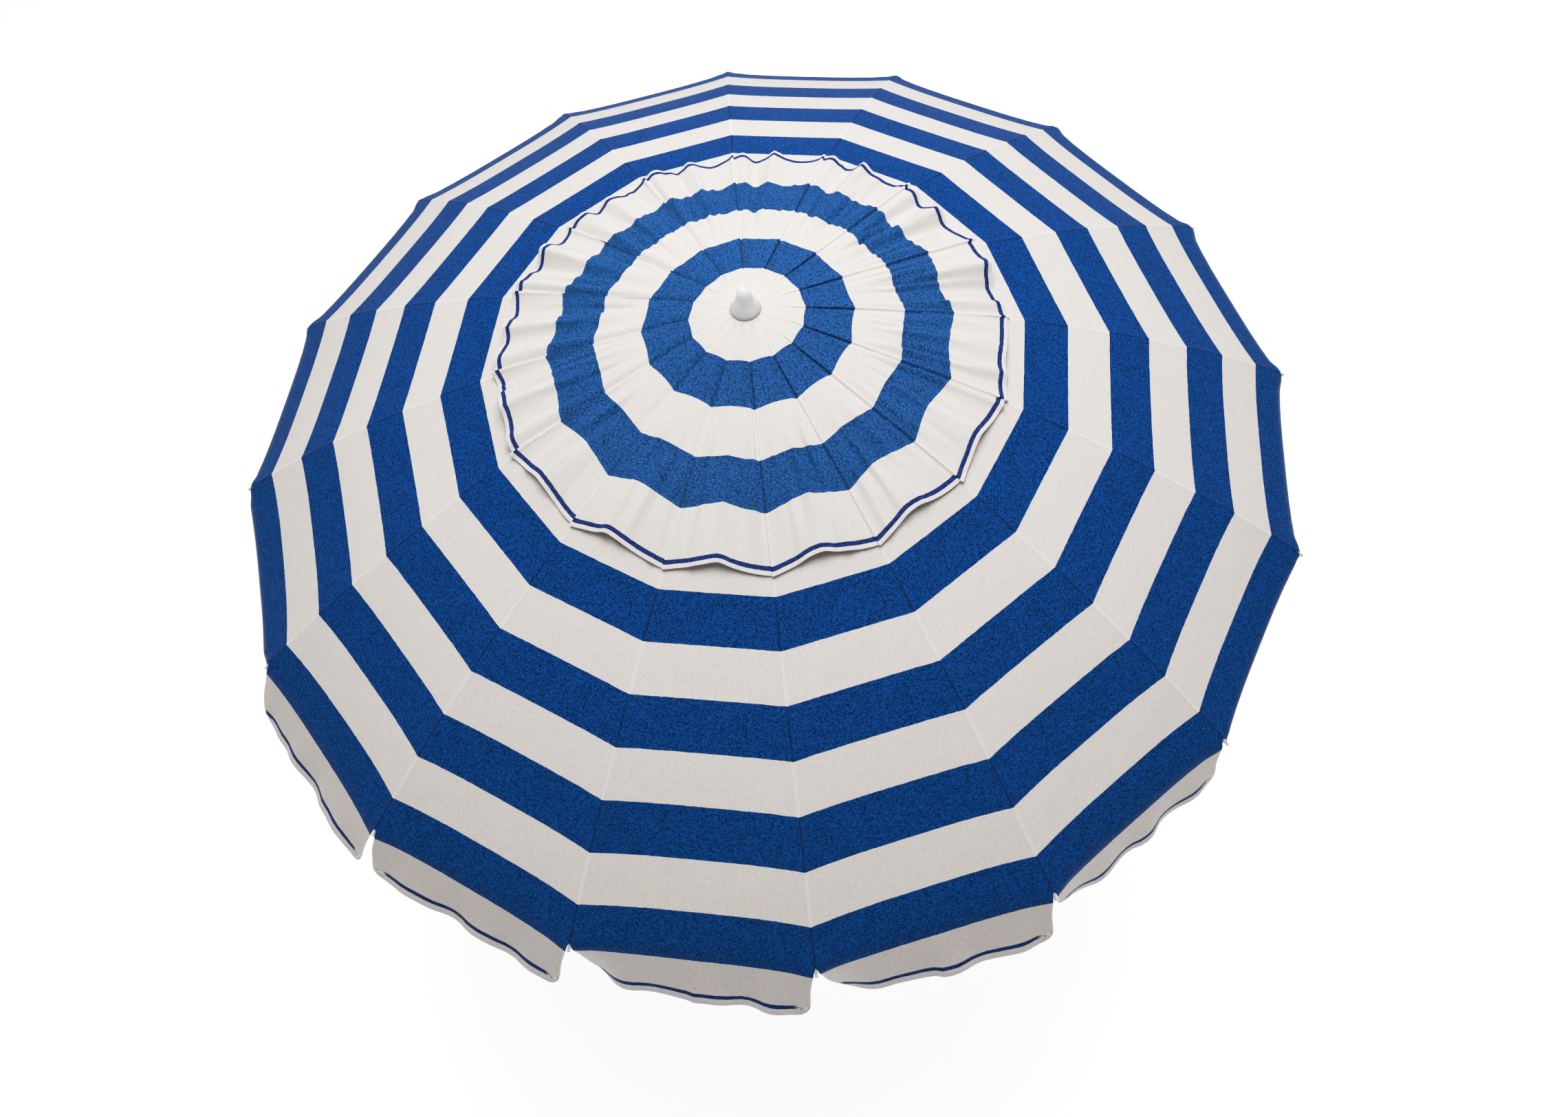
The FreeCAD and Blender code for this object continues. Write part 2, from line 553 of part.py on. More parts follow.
pieces = [lower, collar, knob, upper, catch_body, hub, hub_wire, finial, runner, runner_wire, canopy, vent_cap] + spokes
os.makedirs("parts", exist_ok=True)
for piece in pieces:
    shape = piece.Shape
    if shape.isNull() or not shape.isValid() or not shape.Solids:
        raise RuntimeError("%s has no valid solid" % piece.Label)
for piece in pieces:
    piece.Shape.exportStep("parts/%s.step" % piece.Label)
print("pieces", len(pieces))
print("pivot gap", round(HUB_GAP, 3), "joint", round(JOINT_R, 3), round(JOINT_Z, 3), "runner", round(RUNNER_Z, 3))
for piece in pieces[:12] + pieces[12:15]:
    b = piece.Shape.BoundBox
    print(piece.Label, "volume", round(piece.Shape.Volume), "solids", len(piece.Shape.Solids),
          "z", round(b.ZMin, 1), round(b.ZMax, 1), "x", round(b.XMin, 1), round(b.XMax, 1), "y", round(b.YMin, 1), round(b.YMax, 1))
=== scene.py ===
import bpy
import math
import random
import numpy as np
from mathutils import Matrix, Vector


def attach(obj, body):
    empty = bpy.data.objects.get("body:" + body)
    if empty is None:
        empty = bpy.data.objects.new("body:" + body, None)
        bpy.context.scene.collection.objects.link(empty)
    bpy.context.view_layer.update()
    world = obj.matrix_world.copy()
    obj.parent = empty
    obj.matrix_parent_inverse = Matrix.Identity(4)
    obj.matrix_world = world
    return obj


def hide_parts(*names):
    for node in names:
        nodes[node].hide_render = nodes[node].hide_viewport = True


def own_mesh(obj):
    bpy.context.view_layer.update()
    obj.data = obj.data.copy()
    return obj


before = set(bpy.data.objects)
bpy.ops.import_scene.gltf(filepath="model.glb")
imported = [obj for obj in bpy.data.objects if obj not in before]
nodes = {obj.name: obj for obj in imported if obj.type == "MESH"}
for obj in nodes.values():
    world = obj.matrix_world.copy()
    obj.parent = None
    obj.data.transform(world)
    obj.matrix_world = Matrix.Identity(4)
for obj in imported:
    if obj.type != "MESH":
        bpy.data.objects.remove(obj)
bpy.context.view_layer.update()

MM = 0.001
N = 16                                  # ribs, and panels
ALPHA = math.pi / N                     # half a panel
rng = np.random.RandomState(20758)

# ---------------------------------------------------------------- camera, light and floor
scene = bpy.context.scene
scene.view_settings.view_transform = "Standard"
scene.view_settings.look = "None"
scene.view_settings.use_curve_mapping = True
tone = scene.view_settings.curve_mapping
tone.use_clip = False
curve = tone.curves[3]
curve.points[0].location = (0.0, 0.0)
curve.points[1].location = (1.0, 0.985)
for at in ((0.05, 0.036), (0.165, 0.150), (0.27, 0.292), (0.50, 0.62), (0.79, 0.868)):
    curve.points.new(*at)
tone.update()

camera_data = bpy.data.cameras.new("camera")
camera = bpy.data.objects.new("camera", camera_data)
scene.collection.objects.link(camera)
turn = Matrix.Rotation(math.radians(1.73), 3, "Z")
axes = Matrix(((0.99079406, -0.12003246, -0.0626047),
               (0.13537777, 0.8784858, 0.45818725),
               (0.0, -0.46244448, 0.88664824)))       # rows: right, up, back
place = turn @ (Vector((0.00704825, -1.25750504, 1.68806918)) * 1.168) + Vector((0, 0, 1.9568))
camera.matrix_world = Matrix.Translation(place) @ (turn @ axes.transposed()).to_4x4()
camera_data.sensor_fit = "HORIZONTAL"
camera_data.sensor_width = 36.0
camera_data.lens = 27.018
camera_data.clip_start, camera_data.clip_end = 0.05, 100.0
scene.camera = camera

world = bpy.data.worlds.new("world")
scene.world = world
world.use_nodes = True
wt = world.node_tree
ambient = wt.nodes["Background"]
ambient.inputs["Color"].default_value = (1.0, 1.0, 1.0, 1.0)
ambient.inputs["Strength"].default_value = 0.185
pale = wt.nodes.new("ShaderNodeBackground")          # the plain pale backdrop behind the object
pale.inputs["Color"].default_value = (1.0, 1.0, 1.0, 1.0)
pale.inputs["Strength"].default_value = 1.0
path = wt.nodes.new("ShaderNodeLightPath")
either = wt.nodes.new("ShaderNodeMixShader")
wt.links.new(path.outputs["Is Camera Ray"], either.inputs[0])
wt.links.new(ambient.outputs[0], either.inputs[1])
wt.links.new(pale.outputs[0], either.inputs[2])
wt.links.new(either.outputs[0], wt.nodes["World Output"].inputs["Surface"])


def area_light(name, at, aim, size, energy, colour=(1, 1, 1)):
    data = bpy.data.lights.new(name, "AREA")
    data.shape = "DISK"
    data.size = size
    data.energy = energy
    data.color = colour
    lamp = bpy.data.objects.new(name, data)
    lamp.location = at
    lamp.rotation_mode = "QUATERNION"
    lamp.rotation_quaternion = (Vector(aim) - Vector(at)).to_track_quat("-Z", "Y")
    scene.collection.objects.link(lamp)
    return lamp


area_light("key_light", (0.25, 0.85, 6.4), (0.0, 0.0, 2.0), 4.0, 178.0, (1.0, 0.985, 0.962))
area_light("back_light", (0.6, 4.2, 4.4), (0.0, 0.2, 2.0), 2.0, 26.0, (1.0, 0.99, 0.985))

# ---------------------------------------------------------------- small node helpers


def new_material(name):
    m = bpy.data.materials.new(name)
    m.use_nodes = True
    t = m.node_tree
    for n in list(t.nodes):
        t.nodes.remove(n)
    out = t.nodes.new("ShaderNodeOutputMaterial")
    p = t.nodes.new("ShaderNodeBsdfPrincipled")
    t.links.new(p.outputs["BSDF"], out.inputs["Surface"])
    return m, t, p


def node(t, kind, **values):
    n = t.nodes.new(kind)
    for key, value in values.items():
        if key.startswith("_"):
            n.inputs[int(key[1:])].default_value = value
        else:
            setattr(n, key, value)
    return n


def maths(t, operation, a, b=None, c=None, clamp=False):
    n = t.nodes.new("ShaderNodeMath")
    n.operation = operation
    n.use_clamp = clamp
    for i, v in enumerate((a, b, c)):
        if v is None:
            continue
        if isinstance(v, (int, float)):
            n.inputs[i].default_value = v
        else:
            t.links.new(v, n.inputs[i])
    return n.outputs[0]


def mix_colour(t, factor, a, b, blend="MIX"):
    n = t.nodes.new("ShaderNodeMix")
    n.data_type = "RGBA"
    n.blend_type = blend
    n.clamp_factor = True
    for i, v in ((0, factor), (6, a), (7, b)):
        if isinstance(v, (int, float)):
            n.inputs[i].default_value = v
        elif isinstance(v, tuple):
            n.inputs[i].default_value = (*v, 1.0) if len(v) == 3 else v
        else:
            t.links.new(v, n.inputs[i])
    return n.outputs[2]


def map_range(t, value, a, b, c=0.0, d=1.0, smooth=True):
    n = t.nodes.new("ShaderNodeMapRange")
    n.interpolation_type = "SMOOTHSTEP" if smooth else "LINEAR"
    t.links.new(value, n.inputs[0])
    for i, v in enumerate((a, b, c, d)):
        n.inputs[i + 1].default_value = v
    return n.outputs[0]


WHITE = (0.785, 0.751, 0.725)
IVORY = (0.860, 0.845, 0.815)
HEM = (0.790, 0.768, 0.760)
BLUE = (0.0050, 0.0855, 0.2950)
LINE = (0.0060, 0.0580, 0.2150)
CAP_LINE = (0.0280, 0.0650, 0.2400)
DARK = (0.0030, 0.0260, 0.1050)
# painted light: the vent cap is the same blue cloth as the canopy, painted lighter for the extra light that falls on it
# up top
CAP_BLUE_PAINTED_LIT = (0.0280, 0.1310, 0.3330)


def cloth_material(name, stops, seam_style):
    """Yarn-dyed striped canvas. The piece's "cloth" attribute holds, in metres, the distance down the gore,
    the distance across it from the gore's seam, and the distance from the nearest cut edge."""
    m, t, p = new_material(name)
    attribute = node(t, "ShaderNodeAttribute", attribute_name="cloth", attribute_type="GEOMETRY")
    parts = t.nodes.new("ShaderNodeSeparateXYZ")
    t.links.new(attribute.outputs["Vector"], parts.inputs[0])
    down, across, gap = parts.outputs[0], parts.outputs[1], parts.outputs[2]
    # the warp wanders a little, so a stripe's edge isn't a ruled line
    wander = node(t, "ShaderNodeTexNoise", noise_dimensions="3D")
    wander.inputs["Scale"].default_value = 55.0
    wander.inputs["Detail"].default_value = 3.0
    t.links.new(attribute.outputs["Vector"], wander.inputs["Vector"])
    drift = maths(t, "MULTIPLY_ADD", wander.outputs[0], 0.0022, -0.0011)
    place = maths(t, "ADD", down, drift)
    colour = stops[0][1]
    for at, after in stops[1:]:
        colour = mix_colour(t, map_range(t, place, at - 0.0005, at + 0.0005), colour, after)
    # is it a dark stripe here: 0 on white, 1 on blue
    split = t.nodes.new("ShaderNodeSeparateColor")
    t.links.new(colour, split.inputs[0])
    is_blue = map_range(t, split.outputs[0], 0.5, 0.2)
    # seam bands
    side = maths(t, "ABSOLUTE", across)
    band = map_range(t, side, 0.0042, 0.0032)
    line = map_range(t, side, 0.0030, 0.0008)
    if seam_style == "main":
        colour = mix_colour(t, maths(t, "MULTIPLY", maths(t, "MULTIPLY", band, 0.7), maths(t, "SUBTRACT", 1.0, is_blue)), colour, IVORY)
        colour = mix_colour(t, maths(t, "MULTIPLY", maths(t, "MULTIPLY", line, 0.42), is_blue), colour, DARK)
        colour = mix_colour(t, maths(t, "MULTIPLY", maths(t, "MULTIPLY", band, 0.12), is_blue), colour, DARK)
    else:
        colour = mix_colour(t, maths(t, "MULTIPLY", maths(t, "MULTIPLY", line, 0.26), is_blue), colour, DARK)
        colour = mix_colour(t, maths(t, "MULTIPLY", maths(t, "MULTIPLY", band, 0.5), maths(t, "SUBTRACT", 1.0, is_blue)), colour, IVORY)
        # shade and dust in the fold beside the seam
        fold = maths(t, "MULTIPLY", map_range(t, across, -0.0072, -0.0035), map_range(t, across, 0.0012, -0.0006))
        colour = mix_colour(t, maths(t, "MULTIPLY", maths(t, "MULTIPLY", fold, 0.20), is_blue), colour, DARK)
    # the narrow line of the hem is turned under near a flap's corners
    if seam_style == "main":
        tucked = maths(t, "MULTIPLY", map_range(t, side, 0.036, 0.022), map_range(t, down, 1.330, 1.336))
        colour = mix_colour(t, tucked, colour, WHITE)
    # mottled yarn and a little fading
    grain = node(t, "ShaderNodeTexNoise", noise_dimensions="3D")
    grain.inputs["Scale"].default_value = 420.0
    grain.inputs["Detail"].default_value = 2.5
    grain.inputs["Roughness"].default_value = 0.6
    t.links.new(attribute.outputs["Vector"], grain.inputs["Vector"])
    patches = node(t, "ShaderNodeTexNoise", noise_dimensions="3D")
    patches.inputs["Scale"].default_value = 9.0
    patches.inputs["Detail"].default_value = 3.0
    t.links.new(attribute.outputs["Vector"], patches.inputs["Vector"])
    # the weave: two crossing sets of yarns
    warp = maths(t, "SINE", maths(t, "MULTIPLY", across, 2 * math.pi / 0.0011))
    weft = maths(t, "SINE", maths(t, "MULTIPLY", down, 2 * math.pi / 0.0013))
    weave = maths(t, "MULTIPLY", warp, weft)
    amount = maths(t, "MULTIPLY_ADD", is_blue, 5.60, 0.64)
    coarse = node(t, "ShaderNodeTexNoise", noise_dimensions="3D")
    coarse.inputs["Scale"].default_value = 230.0
    coarse.inputs["Detail"].default_value = 1.5
    t.links.new(attribute.outputs["Vector"], coarse.inputs["Vector"])
    both = maths(t, "ADD", maths(t, "MULTIPLY", grain.outputs[0], 0.60), maths(t, "MULTIPLY", coarse.outputs[0], 0.40))
    g = maths(t, "MULTIPLY", maths(t, "SUBTRACT", both, 0.5), amount)
    g2 = maths(t, "MULTIPLY", maths(t, "SUBTRACT", patches.outputs[0], 0.5), 0.05)
    g3 = maths(t, "MULTIPLY", weave, 0.018)
    tone = maths(t, "ADD", maths(t, "ADD", maths(t, "ADD", g, g2), g3), 1.0)
    grey = t.nodes.new("ShaderNodeCombineColor")
    for i in range(3):
        t.links.new(tone, grey.inputs[i])
    colour = mix_colour(t, 1.0, colour, grey.outputs[0], "MULTIPLY")
    # stitch rows: two beside each seam, and one along each hem
    beat = map_range(t, maths(t, "SINE", maths(t, "MULTIPLY", down, 2 * math.pi / 0.0036)), -0.25, 0.05)
    rows = maths(t, "SUBTRACT", 1.0, map_range(t, maths(t, "ABSOLUTE", maths(t, "SUBTRACT", side, 0.0033)), 0.00025, 0.0006))
    stitch = maths(t, "MULTIPLY", rows, beat)
    beat2 = map_range(t, maths(t, "SINE", maths(t, "MULTIPLY", across, 2 * math.pi / 0.0036)), -0.25, 0.05)
    rows2 = maths(t, "SUBTRACT", 1.0, map_range(t, maths(t, "ABSOLUTE", maths(t, "SUBTRACT", gap, 0.0078)), 0.00025, 0.0006))
    stitch2 = maths(t, "MULTIPLY", rows2, beat2)
    stitches = maths(t, "MAXIMUM", stitch, stitch2)
    colour = mix_colour(t, maths(t, "MULTIPLY", stitches, maths(t, "MULTIPLY_ADD", is_blue, -0.16, 0.22)), colour, (0.60, 0.60, 0.60))
    t.links.new(colour, p.inputs["Base Color"])
    # relief
    height = maths(t, "ADD", maths(t, "MULTIPLY", weave, 0.00007), maths(t, "MULTIPLY", grain.outputs[0], 0.00022))
    height = maths(t, "ADD", height, maths(t, "MULTIPLY", stitches, 0.00018))
    bump = t.nodes.new("ShaderNodeBump")
    bump.inputs["Strength"].default_value = 0.75
    bump.inputs["Distance"].default_value = 1.0
    t.links.new(height, bump.inputs["Height"])
    t.links.new(bump.outputs[0], p.inputs["Normal"])
    rough = maths(t, "MULTIPLY_ADD", grain.outputs[0], 0.12, 0.74)
    t.links.new(rough, p.inputs["Roughness"])
    p.inputs["Specular IOR Level"].default_value = 0.14
    p.inputs["Sheen Weight"].default_value = 0.50
    p.inputs["Sheen Roughness"].default_value = 0.25
    p.inputs["Subsurface Weight"].default_value = 0.22
    p.inputs["Subsurface Radius"].default_value = (0.0008, 0.0007, 0.0007)
    p.inputs["Subsurface Scale"].default_value = 1.0
    p.inputs["Sheen Tint"].default_value = (1.0, 0.93, 0.96, 1.0)
    return m


B = [0.5683 + 0.0981 * i for i in range(8)]
main_stops = [(0.0, WHITE)]
for i, b in enumerate(B):
    main_stops.append((b, BLUE if i % 2 == 0 else WHITE))
main_stops += [(1.3408, LINE), (1.3502, HEM)]
cap_stops = [(0.0, WHITE), (0.1154, CAP_BLUE_PAINTED_LIT), (0.2116, WHITE), (0.3130, CAP_BLUE_PAINTED_LIT), (0.4115, WHITE), (0.5138, CAP_LINE), (0.5229, HEM)]
canvas = cloth_material("striped_canvas", main_stops, "main")
cap_canvas = cloth_material("striped_cap_canvas", cap_stops, "cap")

# ---------------------------------------------------------------- the shape of the cloth, in millimetres

ARC, ARC_R, ARC_Z, PHI0 = 3079.5, 452.9, -886.5, 0.147605
S_VENT, S_EDGE, S_END = 357.8, 1232.1, 1367.0


def arc_phi(s):
    return PHI0 + s / ARC


def arc_r(s):
    return ARC * np.sin(arc_phi(s)) - ARC_R


def arc_z(s):
    return ARC_Z + ARC * np.cos(arc_phi(s))


def smooth(t):
    t = np.clip(t, 0.0, 1.0)
    return t * t * (3 - 2 * t)


def smoother(t):
    t = np.clip(t, 0.0, 1.0)
    return t * t * t * (t * (6 * t - 15) + 10)


def mid_azimuth(k):
    return np.radians(-90.0 + 22.5 * k) + ALPHA


# flap slopes, from the horizontal, per panel, and how its two lower corners are cut
FLAP = np.array([58, 73, 90, 82, 72, 66, 64, 66, 64, 66, 68, 70, 74, 50, 55, 57], float)
CURL = {0: 88, 1: 86, 2: 91, 15: 87, 3: 86}
LEFT_CORNER = {0: (88, 66), 1: (80, 62), 15: (92, 66), 13: (88, 70), 14: (24, 20)}
RIGHT_CORNER = {}

SINK_S = np.array([300, 568, 666, 764.5, 862.6, 960.7, 1058.8, 1156.9, 1232, 1400], float)
SINK_R = np.array([0.0, 0.4, -0.2, -0.7, -2.0, -3.4, -5.1, -6.6, -8.5, -8.8])

# how much later than the others a panel turns over its edge, in millimetres
LATE = {2: 8.0, 3: 3.0, 11: 6.0, 12: 19.0, 13: 5.0}
# and how far each rib's stripes have crept out along it at the edge
CREEP = {13: 11.0, 12: 3.0}

hem_wave = []
for k in range(N):
    waves = []
    for f, a in ((1.55, 0.40), (3.1, 1.0), (4.6, 0.42), (6.7, 0.20)):
        waves.append((f * rng.uniform(0.85, 1.15), a * rng.uniform(0.7, 1.15), rng.uniform(0, 2 * math.pi)))
    hem_wave.append(waves)


def hem_at(k, y, half):
    """The wave of the flap's lower edge, about -1 to 1, where y is the distance along the panel from its middle."""
    total = np.zeros_like(y)
    for f, a, phase in hem_wave[k]:
        total = total + a * np.sin(math.pi * f * y / half + phase)
    total = total / 1.35
    return np.sign(total) * (1.15 * np.abs(total) - 0.22 * total ** 2)


def main_sheet(k, offsets, rows):
    """Points of panel k's cloth. offsets[i, j] is the distance of column j from the panel's middle line, as a share of the half
    width, -1 to 1; rows[i] is the distance down the gore. Returns points, and the (down, across, gap) of each."""
    tm = mid_azimuth(k)
    m = np.array([math.cos(tm), math.sin(tm), 0.0])
    t = np.array([-math.sin(tm), math.cos(tm), 0.0])
    s = np.repeat(rows[:, None], offsets.shape[1], 1)
    x = offsets
    half = arc_r(np.minimum(s, S_EDGE)) * math.sin(ALPHA)
    e = (1 - np.abs(x)) * half
    left = x < 0
    # where the flap's cloth is cut: the corners are rounded
    lr, ld = LEFT_CORNER.get(k, (52, 40))
    rr, rd = RIGHT_CORNER.get(k, (34, 34))
    size = np.where(left, lr, rr)
    deep = np.where(left, ld, rd)
    u = np.clip(1 - e / size, 0, 1)
    cut = S_END - deep * (1 - np.sqrt(np.clip(1 - u ** 2.0, 0, 1)))
    sp = np.where(s > S_EDGE, S_EDGE + (s - S_EDGE) * (cut - S_EDGE) / (S_END - S_EDGE), s)
    below = np.clip((sp - S_EDGE) / (S_END - S_EDGE), 0, None)
    # the profile down the panel: along the arc, then over the edge and down
    near = np.exp(-(e / 26.0) ** 2)
    s0 = 1200 + 24 * near
    s1 = 1266 - 10 * near
    psi = np.full_like(s, FLAP[k])
    if k in CURL:
        psi = np.where(left, psi + (CURL[k] - FLAP[k]) * np.exp(-e / (64.0 if k == 1 else 80.0)), psi)
    else:
        psi = np.where(left, psi + 6 * np.exp(-e / 50.0), psi)
    psi = np.where(~left, psi + 4 * np.exp(-e / 40.0), psi)
    psi = np.radians(psi)
    steps = np.arange(1200.0, S_END + 1.0, 2.0)
    D = arc_r(s) * math.cos(ALPHA)
    Z = arc_z(s)
    mask_rows = np.where(rows > 1200.0)[0]
    if len(mask_rows):
        j = slice(mask_rows[0], None)
        ang = np.zeros((len(steps), s.shape[1]))
        e_end = e[-1][None, :]
        near_e, psi_e = near[-1][None, :], psi[-1][None, :]
        g = steps[:, None]
        late = LATE.get(k, 0.0) * (1 - near_e)
        b = smoother((g - (1200 + 24 * near_e + late)) / ((1266 - 10 * near_e + 1.3 * late) - (1200 + 24 * near_e + late)))
        phi = arc_phi(g)
        slope = np.arctan2(np.sin(phi), math.cos(ALPHA) * np.cos(phi))
        speed = (1 - b) * np.sqrt(np.sin(phi) ** 2 + (math.cos(ALPHA) * np.cos(phi)) ** 2) + b
        ang = (1 - b) * slope + b * psi_e
        dD, dZ = speed * np.cos(ang), -speed * np.sin(ang)
        cd = np.vstack([np.zeros((1, ang.shape[1])), np.cumsum((dD[1:] + dD[:-1]) * 1.0, 0)])
        cz = np.vstack([np.zeros((1, ang.shape[1])), np.cumsum((dZ[1:] + dZ[:-1]) * 1.0, 0)])
        for c in range(s.shape[1]):
            D[j, c] = arc_r(1200.0) * math.cos(ALPHA) + np.interp(sp[j, c], steps, cd[:, c])
            Z[j, c] = arc_z(1200.0) + np.interp(sp[j, c], steps, cz[:, c])
    # the slit between two flaps opens from the rib's tip
    open_left = 3.4 + (-11.0 if k == 14 else 7.5) * smooth(below / 0.55) + (5.0 if k in (0, 1, 15) else 0.0) * below
    open_right = (8.5 if k == 1 else 2.6) + (12.0 if k == 1 else 5.5) * smooth(below / 0.5)
    slit = np.where(left, open_left, open_right) * smooth((sp - (S_EDGE - 3.5)) / 9.0)
    reach = 120.0
    moved = np.where(e < reach, slit * np.clip(1 - e / reach, 0, 1) ** 1.5, 0.0)
    Y = x * half + np.where(left, moved, -moved)
    # the panel sinks a little between its ribs
    bulge = 1 - np.abs(x) ** 3
    sink = np.interp(sp, SINK_S, SINK_R) * bulge
    D = D + sink
    Z = Z - 0.3 * bulge
    # the hem waves in and out
    wave = hem_at(k, Y, half) * 7.0 * np.clip((sp - 1258) / 100, 0, 1) ** 1.35
    tug = (1 - np.exp(-(e / 20.0) ** 2) * 0.6)
    D = D + np.sin(psi) * wave * tug
    Z = Z + np.cos(psi) * wave * tug
    # faint pulls towards the rib's tip, over the fold
    pull = 1.1 * np.sin(e / 6.5 + (sp - 1200) / 22.0 + k) * np.exp(-((sp - 1236) / 26.0) ** 2) * np.exp(-e / 42.0) * smooth(e / 8.0)
    D = D + pull * 0.55
    Z = Z + pull * 0.85
    P = D[..., None] * m + Y[..., None] * t + Z[..., None] * np.array([0, 0, 1.0])
    across = np.where(left, e, -e)           # measured from the seam: plus on the panel after it, minus on the one before
    gap = np.minimum(cut - sp, np.where(sp > S_EDGE + 4, np.maximum(e, 0.0) + 60, 999.0))
    gap = np.minimum(gap, sp - S_VENT)
    creep = (CREEP.get(k, 0.0) * (1 - x) ** 2 + CREEP.get((k + 1) % N, 0.0) * (1 + x) ** 2) / 4
    creep = creep * smooth((sp - 1010) / 130) * (1 - 0.75 * smooth((sp - 1175) / 60)) * (1 - smooth((sp - 1270) / 40))
    return P, np.stack([sp - creep, across, gap], -1)


# lift of the vent cap's hem above the ribs' line, eight values to a panel from its first rib, in millimetres
LIFT = np.zeros((N, 8))
LIFT[4] = [-4, 1, -3, -2, 7, 16, 9, 7]
LIFT[5] = [5, 3, 0, 1, 13, 5, -2, 9]
LIFT[6] = [6, 3, 4, 7, 14, 6, 3, 12]
LIFT[7] = [6, 2, 1, 3, 9, 4, -1, 8]
LIFT[8] = [3, 0, -2, 4, 9, 1, 5, 12]
LIFT[9] = [3, 0, -2, 6, 9, -2, 6, 8]
LIFT[10] = [1, -3, 2, 15, 11, 2, 6, 10]
LIFT[11] = [4, 0, -2, 7, 8, 2, 5, 9]
LIFT[12] = [3, -2, 2, 12, 11, 6, 5, 8]
LIFT[13] = [3, 1, 6, 15, 15, 8, 3, 2]
LIFT[14] = [3, 3, 9, 18, 14, 6, 2, 2]
LIFT[15] = [3, 4, 8, 17, 19, 10, 5, 3]
LIFT[0] = [4, 3, 7, 16, 17, 9, 4, 3]
LIFT[1] = [4, 4, 9, 17, 15, 8, 4, 3]
LIFT[2] = [5, 4, 9, 16, 16, 9, 4, 3]
LIFT[3] = [4, 2, 5, 12, 15, 11, 4, 0]
# and how far the hem is drawn in towards the middle
DRAW = np.zeros((N, 8))
DRAW[4] = [0, 1, 2, 3, 4, 3, 2, 1]
DRAW[5] = [0, 1, 2, 4, 5, 3, 2, 1]
DRAW[6] = [0, 1, 2, 4, 5, 3, 2, 1]
DRAW[7] = [0, 1, 2, 3, 4, 3, 2, 1]
DRAW[8] = [0, 1, 2, 3, 4, 3, 2, 1]
DRAW[9] = [0, 1, 2, 3, 4, 3, 2, 1]
DRAW[10] = [0, 1, 3, 5, 5, 3, 2, 1]
DRAW[11] = [0, 1, 3, 5, 6, 4, 2, 1]
DRAW[12] = [0, 2, 4, 7, 7, 5, 3, 1]
DRAW[13] = [0, 2, 5, 9, 9, 6, 3, 1]
DRAW[14] = [0, 3, 7, 13, 10, 6, 3, 1]
DRAW[15] = [0, 3, 6, 11, 15, 9, 4, 1]
DRAW[0] = [0, 3, 7, 13, 14, 8, 4, 1]
DRAW[1] = [0, 3, 7, 12, 12, 7, 3, 1]
DRAW[2] = [0, 3, 6, 10, 11, 7, 3, 1]
DRAW[3] = [0, 2, 4, 7, 8, 5, 2, 1]


LIFT[4:13] *= 1.35
LIFT[4:13] *= 1.15
LIFT[13:] = LIFT[13:] * 0.62 - 1.6
LIFT[:4] = LIFT[:4] * 0.62 - 1.6


def round_table(table, k, x):
    """The table's value at x, -1 to 1, of panel k, by a smooth curve through its values."""
    flat = table.ravel()
    p = (k + (x + 1) / 2) * 8
    i = np.floor(p).astype(int)
    f = p - i
    a, b, c, d = (flat[(i + o) % (N * 8)] for o in (-1, 0, 1, 2))
    return b + 0.5 * f * (c - a + f * (2 * a - 5 * b + 4 * c - d + f * (3 * (b - c) + d - a)))


DIP_S = np.array([0, 60, 115, 211, 313, 411, 520, 560], float)
DIP = np.array([0, 0.5, 1.5, 3.6, 2.6, 6.5, 6.5, 6.5])

BACK = np.array([0.25 if (k <= 2 or k >= 14) else 1.0 for k in range(N)])
CREST_SEAM = BACK * rng.uniform(2.5, 6.5, N)
CREST_MID = np.where(BACK < 0.5, 3.0, 1.0) * BACK * rng.uniform(3.5, 7.5, N)
STEP = rng.uniform(2.0, 7.0, N)
CREST_AT = rng.uniform(-0.12, 0.22, N)

folds = []
for k in range(N):
    mine = []
    count = rng.randint(5, 8)
    for i in range(count):
        x0 = -0.86 + 1.72 * (i + rng.uniform(0.15, 0.85)) / count
        start = rng.uniform(190, 320)
        stop = rng.uniform(430, 640)
        strength = 1.5 if (k < 4 or k > 12) else 1.4
        mine.append((x0, rng.uniform(-0.14, 0.14), rng.uniform(4.0, 9.0), strength * rng.uniform(1.8, 4.6) * (1 if rng.rand() < 0.7 else -0.55), start, stop))
    for i in range(2):
        mine.append((rng.uniform(-0.75, 0.75), rng.uniform(-0.10, 0.10), rng.uniform(7.0, 11.0), -rng.uniform(4.0, 7.0), rng.uniform(215, 290), rng.uniform(430, 520)))
    folds.append(mine)

C_START, C_END = 29.0, 531.0


